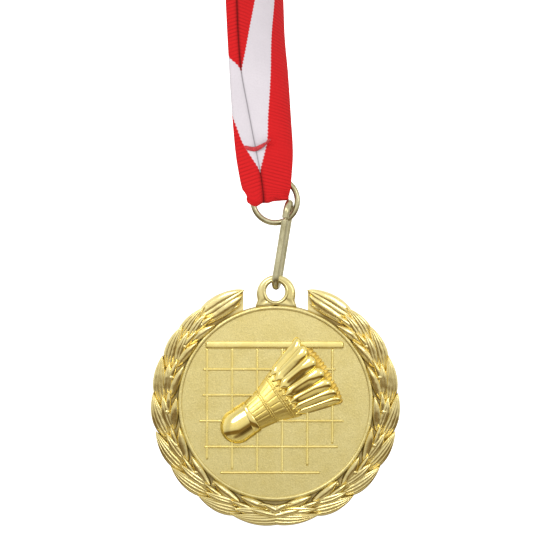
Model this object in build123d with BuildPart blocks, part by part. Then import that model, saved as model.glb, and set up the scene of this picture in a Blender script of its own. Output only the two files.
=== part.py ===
from build123d import *
from math import cos, degrees, radians, sin, sqrt, tan
import os

# Cast badminton medal, hanging by a wire link and a wire ring in the V end of its neck ribbon.
# Millimetres. +Z is up, the face of the medal looks towards -Y. The origin is the point inside the
# ribbon's upper loop where the ribbon bears on the peg, hand or neck that carries it.

os.makedirs("parts", exist_ok=True)

# ---- driving dimensions ----
medal_centre = Vector(5.7, -5.0, -120.4)  # middle of the disc, half way through the eyelet

# disc and rim; heights are measured from the flat back towards the face
back_depth = 1.5  # from the middle plane of the eyelet to the flat back
field_height = 2.0
field_radius = 24.6
bead_radius = 24.75
bead_wire = 0.7
bead_height = 1.95

# wreath
wreath_band = (24.5, 29.2)
wreath_floor = 1.9
wreath_gap = 8.0  # half the open stretch beside the eyelet
knot_tips = [157 - 18 * step for step in range(7)] + [36]  # degrees from the top
outer_leaf = (13.2, 3.8)  # length, width
middle_leaf = (9.4, 2.8)
inner_leaf = (9.2, 2.5)
end_leaf = (12.6, 4.2)
# three leaves at each knot: size, tip radius, degrees the leaf leans outward, height
leaf_rows = (
    (outer_leaf, 31.8, 28, 2.4),
    (middle_leaf, 29.3, 21, 2.9),
    (inner_leaf, 25.9, 0, 2.8),
)
end_leaf_tip = (8.4, 29.3)
end_leaf_turn = 29.0
end_leaf_height = 2.9

# net
net_pitch = (6.5, 6.7)
net_left, net_right = -19.3, 17.3
net_radius = 22.8
net_line = 0.55
net_height = 2.3
tape_z, tape_width = 15.1, 1.6
tape_ends = (-18.0, 17.7)
tape_height = 2.45

# shuttlecock
cork_centre = (-9.2, -5.5)
cork_radius = 4.6
cork_rise = 2.6
shuttle_angle = 34.5
skirt_start, skirt_end = 4.2, 25.2
skirt_start_width, skirt_end_width = 8.4, 20.8
feather_count = 9
feather_tip = 2.4
skirt_rise = 2.2

# eyelet
eyelet_centre = (0.15, 28.3)
eyelet_radius = 5.0
hole_centre = (0.0, 29.0)
hole_radius = 2.7
eyelet_thickness = 2.2
eyelet_round = 0.6
foot_half_width = 5.7

# connecting link
link_wire = 1.8
link_bottom = medal_centre + Vector(0.1, 0, 30.3)
link_top = medal_centre + Vector(3.6, 0, 51.95)
link_gauge = 5.2  # between the axes of the two long wires
link_turn = 10.0  # about its long axis
link_gap = 0.35
link_gap_below_bow = 1.5

# ribbon ring
ring_wire = 1.5
ring_outer = 13.0
ring_centre = medal_centre + Vector(-0.1, 0, 52.6)
ring_gap = 0.2

# ribbon, red, white and red; places are measured from the medal's centre
ribbon_width = 22.0
ribbon_thick = 0.8
strand_lean = 3.6  # degrees, the upper end leans left
tack_height = 67.5
tack_gap = 1.6  # between the strands and the tip, where the tack lies
tack_depth = -2.4
crotch_height = 109.0
seam_x, seam_y = -5.3, -2.6
left_x, right_x = -10.0, 3.7
front_y = -3.7
edge_bend = 1.1
left_back_y, right_back_y = 15.0, 9.0
back_edge_low = 1.5  # where the ribbon's edges stand at the tack
back_edge_slope = 0.325
fold_depth = 2.0
fold_bottom = 51.9
fold_left, fold_right = -4.5, 2.4
tip_left, tip_right = -9.6, 4.0
seam_thread = 0.5
tack_thread = 1.5
tack_left, tack_right = -8.4, 2.4

# ---- medal casting ----


def face_plane(height):
    """Plane parallel to the medal's face, at a height over its flat back."""
    origin = medal_centre + Vector(0, back_depth - height, 0)
    return Plane(origin=origin, x_dir=(1, 0, 0), z_dir=(0, -1, 0))


def leaf_places(tips, tip_radius, outward):
    """Both branches' leaf places: each leaf points up its branch and leans outward from it."""
    places = []
    for tip in tips:
        for side in (1, -1):
            angle = radians(tip)
            at = (side * tip_radius * sin(angle), tip_radius * cos(angle))
            heading = 180 - tip - outward if side == 1 else tip + outward
            places.append(Location((at[0], at[1], 0), (0, 0, heading)))
    return places


def leaf_shape(size):
    """Pointed leaf whose tip is at the origin."""
    length, width = size
    with BuildSketch() as leaf:
        with BuildLine():
            ThreePointArc((0, 0), (-length / 2, width / 2), (-length, 0))
            ThreePointArc((-length, 0), (-length / 2, -width / 2), (0, 0))
        make_face()
    return leaf.sketch


with BuildPart() as casting:
    with BuildSketch(face_plane(back_depth - eyelet_thickness / 2)):
        with Locations(eyelet_centre):
            Circle(eyelet_radius)
        Polygon(
            (-foot_half_width, field_radius - 1),
            (foot_half_width, field_radius - 1),
            (eyelet_radius * 0.8, eyelet_centre[1] - 1),
            (-eyelet_radius * 0.8, eyelet_centre[1] - 1),
            align=None,
        )
        with Locations(hole_centre):
            Circle(hole_radius, mode=Mode.SUBTRACT)
    extrude(amount=eyelet_thickness)
    round_edges = casting.edges().filter_by(GeomType.CIRCLE)
    fillet([edge for edge in round_edges if abs(edge.radius - hole_radius) < 0.01], eyelet_round)

    with BuildSketch(face_plane(0)):
        Circle(field_radius)
    extrude(amount=field_height)

    with BuildSketch(face_plane(0)):
        Circle(wreath_band[1])
        Circle(wreath_band[0], mode=Mode.SUBTRACT)
        with Locations((0, wreath_band[1])):
            Rectangle(2 * wreath_gap, 2 * (wreath_band[1] - wreath_band[0]), mode=Mode.SUBTRACT)
    extrude(amount=wreath_floor)

    for size, tip_radius, outward, height in leaf_rows:
        with BuildSketch(face_plane(0)):
            with Locations(leaf_places(knot_tips, tip_radius, outward)):
                add(leaf_shape(size))
            Circle(field_radius, mode=Mode.SUBTRACT)
        extrude(amount=height)

    with BuildSketch(face_plane(0)):
        for side in (1, -1):
            turn = 180 - end_leaf_turn if side == 1 else end_leaf_turn
            with Locations(Location((side * end_leaf_tip[0], end_leaf_tip[1], 0), (0, 0, turn))):
                add(leaf_shape(end_leaf))
        Circle(field_radius, mode=Mode.SUBTRACT)
    extrude(amount=end_leaf_height)

    with BuildSketch(Plane(origin=face_plane(0).origin, x_dir=(1, 0, 0), z_dir=(0, 0, 1))):
        with Locations((bead_radius, -bead_height)):
            Circle(bead_wire)
    revolve(axis=Axis(face_plane(0).origin, (0, 1, 0)))

    with BuildSketch(face_plane(field_height)):
        for column in range(6):
            with Locations((-17.8 + column * net_pitch[0], 0)):
                Rectangle(net_line, 2 * net_radius)
        for row in range(5):
            with Locations(((net_left + net_right) / 2, 8.8 - row * net_pitch[1])):
                Rectangle(net_right - net_left, net_line)
        with Locations(((net_left + net_right) / 2, tape_z - net_radius)):
            Rectangle(net_right - net_left + 2, 2 * net_radius, mode=Mode.INTERSECT)
        Circle(net_radius, mode=Mode.INTERSECT)
    extrude(amount=net_height - field_height)

    with BuildSketch(face_plane(field_height)):
        with Locations((sum(tape_ends) / 2, tape_z)):
            Rectangle(tape_ends[1] - tape_ends[0], tape_width)
    extrude(amount=tape_height - field_height)

    # shuttlecock: a domed cork, and a fan of feathers that stands higher in the middle
    cork_x, cork_z = cork_centre
    cork_foot = face_plane(field_height).origin + Vector(cork_x, 0, cork_z)
    with BuildSketch(Plane(cork_foot, (1, 0, 0), (0, 0, 1))):
        with BuildLine():
            Line((0, 0), (cork_radius, 0))
            RadiusArc((cork_radius, 0), (0, -cork_rise), (cork_radius**2 + cork_rise**2) / (2 * cork_rise))
            Line((0, -cork_rise), (0, 0))
        make_face()
    revolve(axis=Axis(cork_foot, (0, 1, 0)))

    shuttle_axis = (cos(radians(shuttle_angle)), 0, sin(radians(shuttle_angle)))
    half_fan = feather_count / 2
    stem_start = 0.5 * cork_radius
    for feather in range(feather_count):
        share = (feather - half_fan + 0.5) / half_fan
        near, far = share * skirt_start_width / 2, share * skirt_end_width / 2
        near_half = skirt_start_width / 2 / feather_count
        far_half = skirt_end_width / 2 / feather_count
        with BuildSketch(Plane(cork_foot, shuttle_axis, (0, -1, 0))):
            with BuildLine():
                Polyline(
                    (skirt_end, far - far_half),
                    (skirt_start, near - near_half),
                    (stem_start, near - near_half),
                    (stem_start, near + near_half),
                    (skirt_start, near + near_half),
                    (skirt_end, far + far_half),
                )
                ThreePointArc(
                    (skirt_end, far + far_half),
                    (skirt_end + feather_tip * (1 - 0.4 * share**2), far),
                    (skirt_end, far - far_half),
                )
            make_face()
        extrude(amount=skirt_rise * sqrt(1 - 0.75 * share**2))

casting.part.label = "medal_casting"
export_step(casting.part, "parts/medal_casting.step")

# ---- connecting link: open loop of wire, two straight runs and two round bows ----
link_axis = (link_top - link_bottom).normalized()
across = Vector(link_axis.Z, 0, -link_axis.X)
link_depth = Vector(0, 1, 0) * cos(radians(link_turn)) + across * sin(radians(link_turn))
link_plane = Plane(origin=link_bottom, x_dir=link_depth, z_dir=link_depth.cross(link_axis))
link_length = (link_top - link_bottom).length
bow = link_gauge / 2
gap_at = link_length - bow - link_gap_below_bow

with BuildPart() as link:
    with BuildLine(link_plane) as link_path:
        Line((-bow, gap_at - link_gap), (-bow, bow))
        ThreePointArc((-bow, bow), (0, 0), (bow, bow))
        Line((bow, bow), (bow, link_length - bow))
        ThreePointArc((bow, link_length - bow), (0, link_length), (-bow, link_length - bow))
        Line((-bow, link_length - bow), (-bow, gap_at))
    with BuildSketch(Plane(origin=link_path.line @ 0, z_dir=link_path.line % 0)):
        Circle(link_wire / 2)
    sweep(path=link_path.line)

link.part.label = "connecting_link"
export_step(link.part, "parts/connecting_link.step")

# ---- ribbon ring: wire ring whose butt gap lies inside the ribbon's fold ----
ring_radius = (ring_outer - ring_wire) / 2
gap_angle = degrees(ring_gap / ring_radius)

with BuildPart() as ring:
    with BuildLine(Plane(ring_centre, (1, 0, 0), (0, -1, 0))) as ring_path:
        CenterArc((0, 0), ring_radius, 90 + gap_angle / 2, 360 - gap_angle)
    with BuildSketch(Plane(origin=ring_path.line @ 0, z_dir=ring_path.line % 0)):
        Circle(ring_wire / 2)
    sweep(path=ring_path.line)

ring.part.label = "ribbon_ring"
export_step(ring.part, "parts/ribbon_ring.step")

# ---- ribbon strands: curled bands on both sides of the seam, their edges turned to the back ----
strand_bottom = medal_centre.Z + tack_height + tack_gap / 2
strand_height = medal_centre.Z + crotch_height - strand_bottom
lean_direction = (-sin(radians(strand_lean)), 0, cos(radians(strand_lean)))
lean_length = strand_height / cos(radians(strand_lean))
lean_shift = strand_height * tan(radians(strand_lean))
back_edge = Plane(
    origin=(0, medal_centre.Y + back_edge_low, strand_bottom),
    x_dir=(1, 0, 0),
    z_dir=(0, 1, -back_edge_slope),
)
strand_plane = Plane((medal_centre.X, medal_centre.Y, strand_bottom))

left_route = [(seam_x, seam_y), (left_x, seam_y), (left_x, left_back_y)]
right_route = [
    (seam_x, seam_y),
    (seam_x + 1.4, seam_y),
    (seam_x + 4.0, front_y),
    (right_x, front_y + 0.2),
    (right_x, right_back_y),
]

with BuildPart() as strand_left:
    with BuildSketch(strand_plane):
        with BuildLine() as left_line:
            FilletPolyline(*left_route, radius=edge_bend)
        trace(left_line.line, ribbon_thick)
    extrude(amount=lean_length, dir=lean_direction)
    split(bisect_by=back_edge, keep=Keep.BOTTOM)

with BuildPart() as strand_right:
    with BuildSketch(strand_plane):
        with BuildLine() as right_line:
            FilletPolyline(*right_route, radius=edge_bend)
        trace(right_line.line, ribbon_thick)
    extrude(amount=lean_length, dir=lean_direction)
    split(bisect_by=back_edge, keep=Keep.BOTTOM)

strand_left.part.label = "ribbon_strand_left"
export_step(strand_left.part, "parts/ribbon_strand_left.step")
strand_right.part.label = "ribbon_strand_right"
export_step(strand_right.part, "parts/ribbon_strand_right.step")

# ---- hanging loop: the ribbon goes over whatever carries it, above the strands ----
loop_radius = (right_x - left_x) / 2
loop_centre_x = medal_centre.X + (right_x + left_x) / 2 - lean_shift
loop_centre_z = -(loop_radius - ribbon_thick / 2)
crotch_z = medal_centre.Z + crotch_height

with BuildPart() as loop:
    with BuildSketch(Plane.XZ):
        with BuildLine() as loop_line:
            Line((loop_centre_x - loop_radius, crotch_z), (loop_centre_x - loop_radius, loop_centre_z))
            CenterArc((loop_centre_x, loop_centre_z), loop_radius, 180, -180)
            Line((loop_centre_x + loop_radius, loop_centre_z), (loop_centre_x + loop_radius, crotch_z))
        trace(loop_line.line, ribbon_thick)
    extrude(amount=ribbon_width / 2, both=True)

loop.part.label = "ribbon_hanging_loop"
export_step(loop.part, "parts/ribbon_hanging_loop.step")

# ---- seam thread: runs up behind the valley between the strands ----
with BuildPart() as mitre_thread:
    with BuildSketch(strand_plane):
        with Locations((seam_x, seam_y + ribbon_thick / 2 + 1.2 * seam_thread / 2)):
            Circle(seam_thread / 2)
    extrude(amount=lean_length, dir=lean_direction)

mitre_thread.part.label = "mitre_seam_thread"
export_step(mitre_thread.part, "parts/mitre_seam_thread.step")

# ---- folded tip: down in front of the ring, through it, and up behind it to the tack ----
tip_top = tack_height - tack_gap / 2
front_leg = tack_depth + ribbon_thick / 2
tip_route = [
    (front_leg, tip_top),
    (front_leg, fold_bottom),
    (fold_depth, fold_bottom),
    (fold_depth, fold_bottom + 9.5),
    (front_leg + ribbon_thick, tip_top - 0.4),
]
tip_outline = [
    (tip_left, tip_top),
    (tip_left + 0.6, tip_top - 7),
    (fold_left - 1.6, fold_bottom + 2.2),
    (fold_left, fold_bottom + 1.2),
    (fold_left, fold_bottom - 1),
    (fold_right, fold_bottom - 1),
    (fold_right, fold_bottom + 2.2),
    (tip_right, fold_bottom + 5.0),
    (tip_right, tip_top),
]

with BuildPart() as tip:
    with BuildSketch(Plane(medal_centre, (0, 1, 0), (1, 0, 0))):
        with BuildLine() as tip_line:
            FilletPolyline(*tip_route, radius=1.9)
        trace(tip_line.line, ribbon_thick)
    extrude(amount=ribbon_width, both=True)
    with BuildSketch(Plane(medal_centre, (1, 0, 0), (0, -1, 0))):
        Polygon(*tip_outline, align=None)
    extrude(amount=ribbon_width, both=True, mode=Mode.INTERSECT)

tip.part.label = "ribbon_tip"
export_step(tip.part, "parts/ribbon_tip.step")

# ---- bar tack: a row of stitches across the top of the fold ----
with BuildPart() as tack:
    tack_start = medal_centre + Vector(tack_left, tack_depth, tack_height)
    with BuildSketch(Plane(tack_start, (0, 1, 0), (1, 0, 0))):
        Circle(tack_thread / 2)
    extrude(amount=tack_right - tack_left)

tack.part.label = "bar_tack_thread"
export_step(tack.part, "parts/bar_tack_thread.step")
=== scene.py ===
import random
from math import cos, degrees, exp, pi, radians, sin, sqrt, tan

import bmesh
import bpy
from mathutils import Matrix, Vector, noise


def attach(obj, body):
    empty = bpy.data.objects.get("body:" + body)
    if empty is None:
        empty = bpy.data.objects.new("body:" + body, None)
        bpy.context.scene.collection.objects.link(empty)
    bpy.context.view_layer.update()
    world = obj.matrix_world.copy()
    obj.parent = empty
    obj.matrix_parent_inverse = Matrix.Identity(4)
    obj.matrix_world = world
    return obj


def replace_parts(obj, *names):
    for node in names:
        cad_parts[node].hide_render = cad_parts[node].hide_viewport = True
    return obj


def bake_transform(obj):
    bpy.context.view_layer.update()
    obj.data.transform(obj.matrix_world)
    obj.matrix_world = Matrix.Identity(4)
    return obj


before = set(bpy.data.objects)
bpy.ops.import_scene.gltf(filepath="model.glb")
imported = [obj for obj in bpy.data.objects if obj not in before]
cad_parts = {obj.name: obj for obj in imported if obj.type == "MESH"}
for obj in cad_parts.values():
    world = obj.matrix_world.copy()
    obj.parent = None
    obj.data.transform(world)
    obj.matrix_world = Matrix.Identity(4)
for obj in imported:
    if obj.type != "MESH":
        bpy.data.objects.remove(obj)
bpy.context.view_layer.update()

# Badminton medal on the V end of its neck ribbon. Sizes are millimetres, turned into metres by mm.
# Places are counted from the disc's centre: on the medal as x, z and a height over its flat back, and on
# the ribbon as x, y (to the back) and z.
mm = 0.001
centre = Vector((5.7, -5.0, -120.4))
back_depth = 1.5
dice = random.Random(7)


def spot(x, z, height):
    return (centre + Vector((x, back_depth - height, z))) * mm


def local(x, y, z):
    return (centre + Vector((x, y, z))) * mm


def ease(value, low, high):
    """0 up to low, 1 from high, and a smooth step between them."""
    share = min(1.0, max(0.0, (value - low) / (high - low)))
    return share * share * (3 - 2 * share)


def along(stops, value):
    """Smooth curve through (place, value) stops."""
    if value <= stops[0][0]:
        return stops[0][1]
    if value >= stops[-1][0]:
        return stops[-1][1]
    last = len(stops) - 1
    for i in range(last):
        (a, va), (b, vb) = stops[i], stops[i + 1]
        if value <= b:
            slope = [
                (stops[min(last, k + 1)][1] - stops[max(0, k - 1)][1])
                / (stops[min(last, k + 1)][0] - stops[max(0, k - 1)][0])
                for k in (i, i + 1)
            ]
            t, span = (value - a) / (b - a), b - a
            return (
                (2 * t**3 - 3 * t**2 + 1) * va
                + (t**3 - 2 * t**2 + t) * span * slope[0]
                + (3 * t**2 - 2 * t**3) * vb
                + (t**3 - t**2) * span * slope[1]
            )


def circle(count):
    """Angles of count places round a full turn."""
    return [2 * pi * c / count for c in range(count)]


def half_circle(steps):
    return [pi * c / steps for c in range(steps + 1)]


# ---- camera, light and stage ----
place_object = bpy.context.scene.collection.objects.link
view_width = 142.45
distance = 1.2
camera_data = bpy.data.cameras.new("camera")
camera_data.sensor_width = 36
camera_data.lens = 36 * distance / (view_width * mm)
camera_data.clip_end = 20
camera = bpy.data.objects.new("camera", camera_data)
camera.location = (5.545 * mm, -distance - 7 * mm, -87.12 * mm)
camera.rotation_euler = (pi / 2, 0, 0)
place_object(camera)
bpy.context.scene.camera = camera
bpy.context.scene.view_settings.view_transform = "Standard"


class Nodes:
    """A node tree with short calls for the nodes that the materials share."""

    def __init__(self, tree):
        self.tree = tree

    def add(self, kind, **settings):
        node = self.tree.nodes.new(kind)
        for key, value in settings.items():
            setattr(node, key, value)
        return node

    def put(self, socket, value):
        if isinstance(value, bpy.types.NodeSocket):
            self.tree.links.new(value, socket)
        else:
            socket.default_value = value

    def math(self, operation, a, b=0.0, c=0.0):
        node = self.add("ShaderNodeMath", operation=operation)
        for socket, value in zip(node.inputs, (a, b, c)):
            self.put(socket, value)
        return node.outputs[0]

    def ramp(self, value, stops, interpolation="LINEAR"):
        node = self.add("ShaderNodeValToRGB")
        node.color_ramp.interpolation = interpolation
        while len(node.color_ramp.elements) < len(stops):
            node.color_ramp.elements.new(0.5)
        for element, (place, shade) in zip(node.color_ramp.elements, stops):
            element.position = place
            element.color = (shade,) * 3 + (1,) if isinstance(shade, float) else (*shade, 1)
        self.put(node.inputs[0], value)
        return node.outputs[0]

    def mix(self, share, a, b, blend="MIX"):
        node = self.add("ShaderNodeMix", data_type="RGBA", blend_type=blend)
        self.put(node.inputs[0], share)
        for socket, value in ((node.inputs[6], a), (node.inputs[7], b)):
            self.put(socket, value if isinstance(value, bpy.types.NodeSocket) else (*value, 1))
        return node.outputs[2]

    def times(self, a, b):
        return self.mix(1.0, a, b, "MULTIPLY")

    def noise(self, place, scale, detail=3.0, rough=0.5, stretch=None):
        if stretch:
            mapping = self.add("ShaderNodeMapping")
            self.put(mapping.inputs["Vector"], place)
            mapping.inputs["Scale"].default_value = stretch
            place = mapping.outputs[0]
        node = self.add("ShaderNodeTexNoise")
        for name, value in (("Vector", place), ("Scale", scale), ("Detail", detail), ("Roughness", rough)):
            self.put(node.inputs[name], value)
        return node.outputs[0]

    def bump(self, height, distance, strength=1.0, normal=None):
        node = self.add("ShaderNodeBump")
        for name, value in (("Strength", strength), ("Distance", distance), ("Height", height), ("Normal", normal)):
            if value is not None:
                self.put(node.inputs[name], value)
        return node.outputs[0]


def studio():
    """Light tent: bright above, dark strips low in front and at both sides, for the metal to reflect."""
    world = bpy.data.worlds.new("light_tent")
    world.use_nodes = True
    n = Nodes(world.node_tree)
    background = world.node_tree.nodes["Background"]
    split = n.add("ShaderNodeSeparateXYZ")
    n.put(split.inputs[0], n.add("ShaderNodeTexCoord").outputs["Generated"])
    x, y, z = split.outputs
    rise = n.math("ADD", n.math("DIVIDE", n.math("ARCSINE", z), pi), 0.5)
    bearing = n.math("ADD", n.math("DIVIDE", n.math("ARCTAN2", x, n.math("MULTIPLY", y, -1.0)), 2 * pi), 0.5)
    level = n.ramp(
        rise,
        [
            (0.0, (0.66, 0.62, 0.52)), (0.2, (0.7, 0.65, 0.54)), (0.27, (0.22, 0.15, 0.06)),
            (0.36, (0.2, 0.13, 0.05)), (0.43, (0.8, 0.78, 0.73)), (0.5, (0.97, 0.96, 0.93)),
            (0.62, (1.1, 1.1, 1.1)), (1.0, (1.05, 1.05, 1.05)),
        ],
        "EASE",
    )
    sides = n.ramp(
        bearing,
        [
            (0.0, 0.9), (0.29, 0.9), (0.335, 0.74), (0.375, 0.74), (0.42, 1.0),
            (0.58, 1.0), (0.63, 0.7), (0.67, 0.68), (0.71, 0.9), (1.0, 0.9),
        ],
        "EASE",
    )
    n.put(background.inputs["Color"], n.times(level, sides))
    background.inputs["Strength"].default_value = 1.15
    bpy.context.scene.world = world

    for name, place, size, power in (
        ("key_light", (-0.35, -0.75, 0.45), 0.35, 3.2),
        ("fill_light", (0.55, -0.7, 0.1), 0.25, 1.1),
    ):
        data = bpy.data.lights.new(name, "AREA")
        data.size = size
        data.energy = power
        light = bpy.data.objects.new(name, data)
        light.location = place
        aim = Vector((0.005, 0, -0.1)) - light.location
        light.rotation_euler = aim.to_track_quat("-Z", "Y").to_euler()
        place_object(light)

    wall = bpy.data.meshes.new("studio_wall")
    shell = bmesh.new()
    bmesh.ops.create_icosphere(shell, subdivisions=5, radius=4.0)
    shell.to_mesh(wall)
    shell.free()
    wall_object = bpy.data.objects.new("studio_wall", wall)
    half, low = 3, -0.3
    floor = bpy.data.meshes.new("studio_floor")
    corners = [(-half, -half, low), (half, -half, low), (half, half, low), (-half, half, low)]
    floor.from_pydata(corners, [], [(0, 1, 2, 3)])
    floor_object = bpy.data.objects.new("studio_floor", floor)
    for obj, glow in ((wall_object, 1.0), (floor_object, 0.25)):
        material = bpy.data.materials.new(obj.name)
        material.use_nodes = True
        for socket, value in (
            ("Base Color", (0.86, 0.86, 0.85, 1)), ("Roughness", 0.9),
            ("Emission Color", (1, 1, 1, 1)), ("Emission Strength", glow),
        ):
            material.node_tree.nodes["Principled BSDF"].inputs[socket].default_value = value
        obj.data.materials.append(material)
        place_object(obj)
        obj.visible_glossy = False
    wall_object.visible_diffuse = False
    wall_object.visible_shadow = False


studio()

# ---- materials ----


class Surface(Nodes):
    """A new material's nodes."""

    def __init__(self, name):
        self.material = bpy.data.materials.new(name)
        self.material.use_nodes = True
        super().__init__(self.material.node_tree)
        self.bsdf = self.tree.nodes["Principled BSDF"]
        self.place = self.add("ShaderNodeTexCoord").outputs["Object"]

    def set(self, name, value):
        self.put(self.bsdf.inputs[name], value)

    def reading(self, name):
        """A value that the mesh carries at each point."""
        return self.add("ShaderNodeAttribute", attribute_name=name).outputs["Fac"]


def gold(name, bright, shade, rough, grain=0.0, pitted=0.0, speckle=0.0, lower=0.0, painted_shade_tone=(0.2, 0.115, 0.02)):
    """Cast and gilt metal: tone drifts, recesses and other low levels get brown painted shade, raised parts are worn
    smooth.

    grain and pitted are depths of bump in metres; speckle and lower are shares of the tone, and lower is painted
    shade towards the bottom of the disc.
    """
    n = Surface(name)
    drift = n.noise(n.place, 180, 4, 0.6)
    tone = n.ramp(drift, [(0.3, shade), (0.62, bright)])
    fleck = n.noise(n.place, 1400, 3, 0.6)
    tone = n.mix(n.ramp(fleck, [(0.45, 0.0), (0.75, 0.25)]), tone, (0.93, 0.80, 0.40))
    level = n.reading("wear_and_shade_level")
    # painted shade: low levels mix the tone towards brown
    tone = n.mix(n.ramp(level, [(0.0, 0.95), (0.12, 0.7), (0.42, 0.0)]), tone, painted_shade_tone)
    if speckle:
        dots = n.noise(n.place, 3300, 2, 0.8)
        spots = n.ramp(dots, [(0.3, 1.0 - speckle), (0.55, 1.0), (0.72, 1.0 + speckle * 0.4)])
        tone = n.times(tone, spots)
    if lower:
        # painted shade: the tone is a little darker towards the lower edge of the disc
        split = n.add("ShaderNodeSeparateXYZ")
        n.put(split.inputs[0], n.place)
        fade_from, fade_over = -96 * mm, 50 * mm
        down = n.math("DIVIDE", n.math("SUBTRACT", fade_from, split.outputs[2]), fade_over)
        tone = n.times(tone, n.ramp(down, [(0.0, 1.0), (1.0, 1.0 - lower)]))
    n.set("Base Color", tone)
    n.set("Metallic", 1.0)
    worn = n.ramp(level, [(0.0, min(1.0, rough + 0.2)), (0.8, rough)])
    smear = n.noise(n.place, 420, 4, 0.6)
    n.set("Roughness", n.math("ADD", worn, n.math("MULTIPLY", n.math("SUBTRACT", smear, 0.5), 0.16)))
    scratch = n.noise(n.place, 900, 3, 0.55, (1.0, 1.0, 0.12))
    normal = n.bump(scratch, 0.00004, min(0.5, rough * 1.8))
    if grain:
        normal = n.bump(n.noise(n.place, 2600, 3, 0.7), grain, 1.0, normal)
    if pitted:
        cells = n.add("ShaderNodeTexVoronoi")
        n.put(cells.inputs["Vector"], n.place)
        cells.inputs["Scale"].default_value = 1900
        normal = n.bump(cells.outputs["Distance"], pitted, 1.0, normal)
    n.set("Normal", normal)
    return n.material


mirror = gold("mirror_gold", (0.82, 0.68, 0.25), (0.77, 0.61, 0.19), 0.1)
warm = gold("warm_gold", (0.71, 0.56, 0.165), (0.66, 0.5, 0.13), 0.36)
leafy = gold("wreath_gold", (0.85, 0.73, 0.35), (0.8, 0.65, 0.26), 0.24, lower=0.18, painted_shade_tone=(0.15, 0.09, 0.02))
eyelet_gold = gold("eyelet_gold", (0.69, 0.6, 0.29), (0.64, 0.53, 0.21), 0.3)
satin = gold("satin_gold", (0.84, 0.71, 0.28), (0.78, 0.63, 0.2), 0.28, grain=0.00001)
# a darker copy of the gold: painted shade for the far feathers
shaded_gold = gold("far_feather_shaded_gold", (0.62, 0.42, 0.08), (0.54, 0.35, 0.055), 0.4)
sanded = gold(
    "sand_blasted_gold", (0.745, 0.64, 0.285), (0.70, 0.585, 0.23), 0.46,
    grain=0.00004, pitted=0.00002, speckle=0.2, lower=0.17,
)


def wire_brass(name):
    n = Surface(name)
    drift = n.noise(n.place, 300, 4, 0.6)
    tone = n.ramp(drift, [(0.3, (0.37, 0.335, 0.19)), (0.65, (0.53, 0.49, 0.31))])
    tone = n.mix(n.ramp(n.noise(n.place, 1500, 3, 0.7), [(0.5, 0.0), (0.8, 0.4)]), tone, (0.22, 0.15, 0.05))
    n.set("Base Color", tone)
    n.set("Metallic", 1.0)
    n.set("Roughness", n.math("ADD", n.math("MULTIPLY", drift, 0.25), 0.2))
    drawn = n.noise(n.place, 1500, 3, 0.6, (1.0, 1.0, 0.08))
    n.set("Normal", n.bump(drawn, 0.00006, 0.6))
    return n.material


wire_metal = wire_brass("drawn_brass")


ribbon_width = 22.0


def cloth():
    """Woven ribbon: red, white and red stripes, ribs across it, and a tooth at the stripe edges from the weave.

    The flat map counts both directions in ribbon widths.
    """
    n = Surface("grosgrain_ribbon")
    uv = n.add("ShaderNodeUVMap", uv_map="flat")
    split = n.add("ShaderNodeSeparateXYZ")
    n.put(split.inputs[0], uv.outputs[0])
    across, down = split.outputs[0], split.outputs[1]
    rib_pitch, tooth_depth, stripe_from, stripe_to, soft = 0.9, 0.38, 7.2, 14.95, 0.004
    rib = n.math("MULTIPLY", down, ribbon_width / rib_pitch)
    wave = n.math("PINGPONG", rib, 0.5)
    tooth = n.math("MULTIPLY", n.math("SUBTRACT", wave, 0.25), tooth_depth / ribbon_width)
    edge = n.math("ADD", across, tooth)
    red, white = (0.495, 0.0105, 0.012), (0.545, 0.504, 0.534)
    first, second = stripe_from / ribbon_width, stripe_to / ribbon_width
    is_white = n.ramp(edge, [
        (0.0, 0.0), (first - soft, 0.0), (first + soft, 1.0), (second - soft, 1.0), (second + soft, 0.0), (1.0, 0.0),
    ])
    # painted shade in the rib hollows and a little painted light on the rib tops of the red stripes, stronger in
    # some places than others
    depth = n.ramp(n.noise(n.place, 70, 2, 0.5), [(0.35, 0.25), (0.6, 1.0)])
    rib_painted_shade = n.mix(depth, (1.0, 1.0, 1.0), n.ramp(wave, [(0.0, 0.66), (0.22, 1.0), (0.5, 1.1)]))
    # the seam attribute is the way from the seam in millimetres; painted shade darkens the cloth along the seam
    # crease, wider and deeper on the red stripes than on the white one
    away = n.math("MULTIPLY", n.reading("seam"), 0.5)
    crease = n.ramp(away, [(0.0, 0.3), (0.06, 0.62), (0.2, 0.96), (0.4, 1.0)])
    red_seam_shade = n.ramp(away, [(0.0, 0.5), (0.12, 0.66), (0.35, 0.92), (0.6, 1.0)])
    shaded_red = n.times(n.times(red, rib_painted_shade), red_seam_shade)
    stripe = n.times(n.mix(is_white, shaded_red, white), crease)
    yarn = n.ramp(n.noise(n.place, 2600, 3, 0.6), [(0.3, 0.94), (0.7, 1.0)])
    shade = n.times(stripe, yarn)
    fade = n.ramp(n.noise(n.place, 120, 2, 0.5), [(0.3, 0.96), (0.7, 1.0)])
    n.set("Base Color", n.times(shade, fade))
    n.set("Roughness", 0.9)
    n.set("Specular IOR Level", 0.12)
    thread = n.noise(uv.outputs[0], 60, 3, 0.6, (12.0, 1.0, 1.0))
    # the white stripe is woven flatter
    ribbed = n.math("MULTIPLY", wave, n.math("SUBTRACT", 1.0, n.math("MULTIPLY", is_white, 0.75)))
    weave = n.bump(ribbed, 0.00018, 0.8)
    n.set("Normal", n.bump(thread, 0.00004, 0.5, weave))
    return n.material


ribbon_cloth = cloth()


def sewing_thread():
    n = Surface("red_thread")
    twist = n.noise(n.place, 3000, 2, 0.5, (1.0, 1.0, 0.5))
    n.set("Base Color", n.ramp(twist, [(0.3, (0.3, 0.006, 0.01)), (0.7, (0.52, 0.014, 0.02))]))
    n.set("Roughness", 0.6)
    n.set("Sheen Weight", 0.2)
    n.set("Normal", n.bump(twist, 0.00008, 0.8))
    return n.material


thread_material = sewing_thread()


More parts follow.
